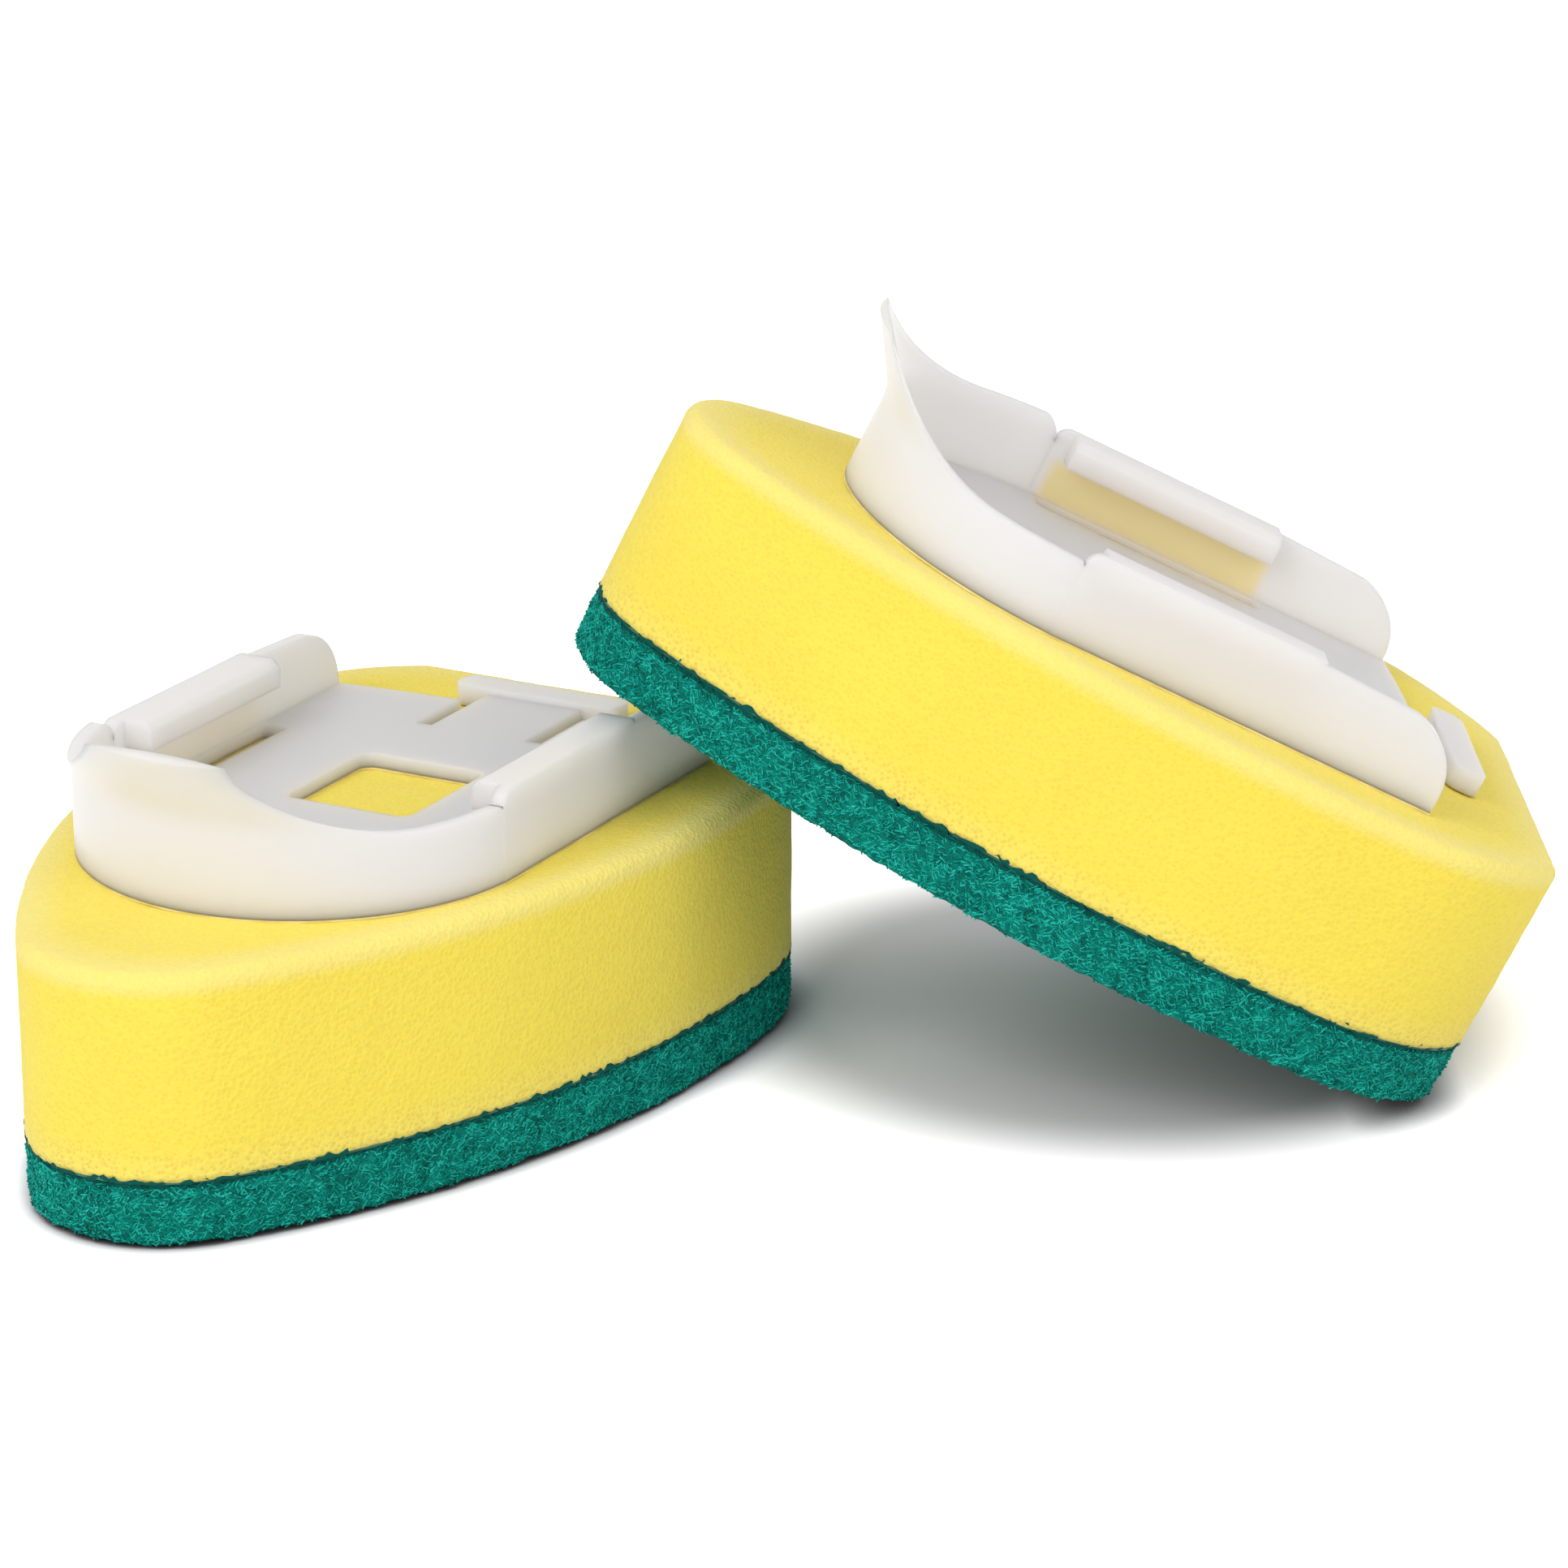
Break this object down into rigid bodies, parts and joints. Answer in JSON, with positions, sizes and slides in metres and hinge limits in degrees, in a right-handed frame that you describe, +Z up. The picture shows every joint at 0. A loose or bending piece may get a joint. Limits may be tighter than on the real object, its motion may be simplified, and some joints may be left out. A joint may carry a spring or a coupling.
{
  "type": "dish wand sponge head pair",
  "caption": "Clip-on foam sponge heads with a scouring pad and a moulded slide carrier; one lies flat and another leans on it.",
  "frame": {"origin": "middle of the lying head's scouring face, on the table", "axes": "+X along the lying head from its round nose to its flat end, +Y across it, +Z up"},
  "size_m": [0.1315, 0.1353, 0.0738],
  "materials": {
    "scour_fibre": "rough non-woven fibre",
    "sponge_foam": "open-cell foam",
    "carrier_plastic": "translucent satin moulding",
    "bonding_film": "clear hot-melt film"
  },
  "bodies": {
    "resting_sponge": {"resting_scour_pad": "scour_fibre", "resting_pad_glue": "bonding_film", "resting_foam_sponge": "sponge_foam"},
    "resting_carrier": {"resting_carrier_glue": "bonding_film", "resting_carrier_clip": "carrier_plastic"},
    "leaning_sponge": {"leaning_scour_pad": "scour_fibre", "leaning_pad_glue": "bonding_film", "leaning_foam_sponge": "sponge_foam"},
    "leaning_carrier": {"leaning_carrier_glue": "bonding_film", "leaning_carrier_clip": "carrier_plastic"}
  },
  "joints": [
    {"name": "resting_squeeze", "type": "slide", "parent": "resting_sponge", "child": "resting_carrier", "axis": [0, 0, -1], "range_m": [0, 0.008], "stiffness_N_per_m": 2000, "deforming": ["resting_foam_sponge"]},
    {"name": "leaning_lift", "type": "slide", "parent": "resting_sponge", "child": "leaning_sponge", "axis": [0, 0, 1], "range_m": [0, 0.06]},
    {"name": "leaning_squeeze", "type": "slide", "parent": "leaning_sponge", "child": "leaning_carrier", "axis": [-0.2151, 0.3881, -0.8961], "range_m": [0, 0.008], "stiffness_N_per_m": 2000, "deforming": ["leaning_foam_sponge"]}
  ]
}
